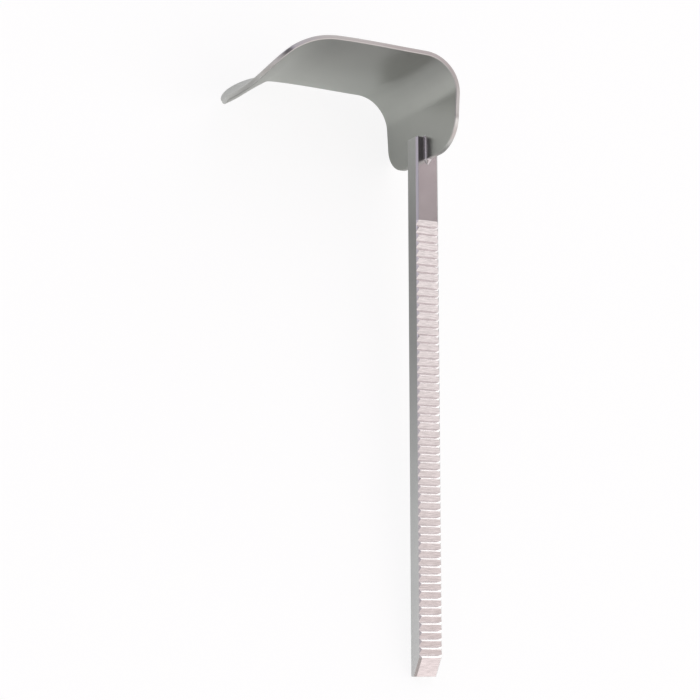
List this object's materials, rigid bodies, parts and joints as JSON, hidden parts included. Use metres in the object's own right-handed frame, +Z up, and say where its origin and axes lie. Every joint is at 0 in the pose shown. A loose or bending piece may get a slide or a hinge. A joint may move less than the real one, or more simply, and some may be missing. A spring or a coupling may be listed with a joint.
{
  "type": "surgical retractor",
  "caption": "Table-mounted retractor with a saddle blade of polished sheet, brazed into the slit end of a straight ratchet bar.",
  "frame": {"origin": "on the surface that the retractor lies on, at the middle of its bounding box", "axes": "+Y along the bar towards the blade, +Z up out of the toothed face, and the blade reaches towards -X"},
  "size_m": [0.0724, 0.1938, 0.048],
  "materials": {
    "blade_steel": "satin",
    "bar_steel": "satin with bright cut teeth",
    "braze_metal": "smooth"
  },
  "bodies": {
    "root": {"blade": "blade_steel", "ratchet_bar": "bar_steel", "braze": "braze_metal"}
  },
  "joints": []
}
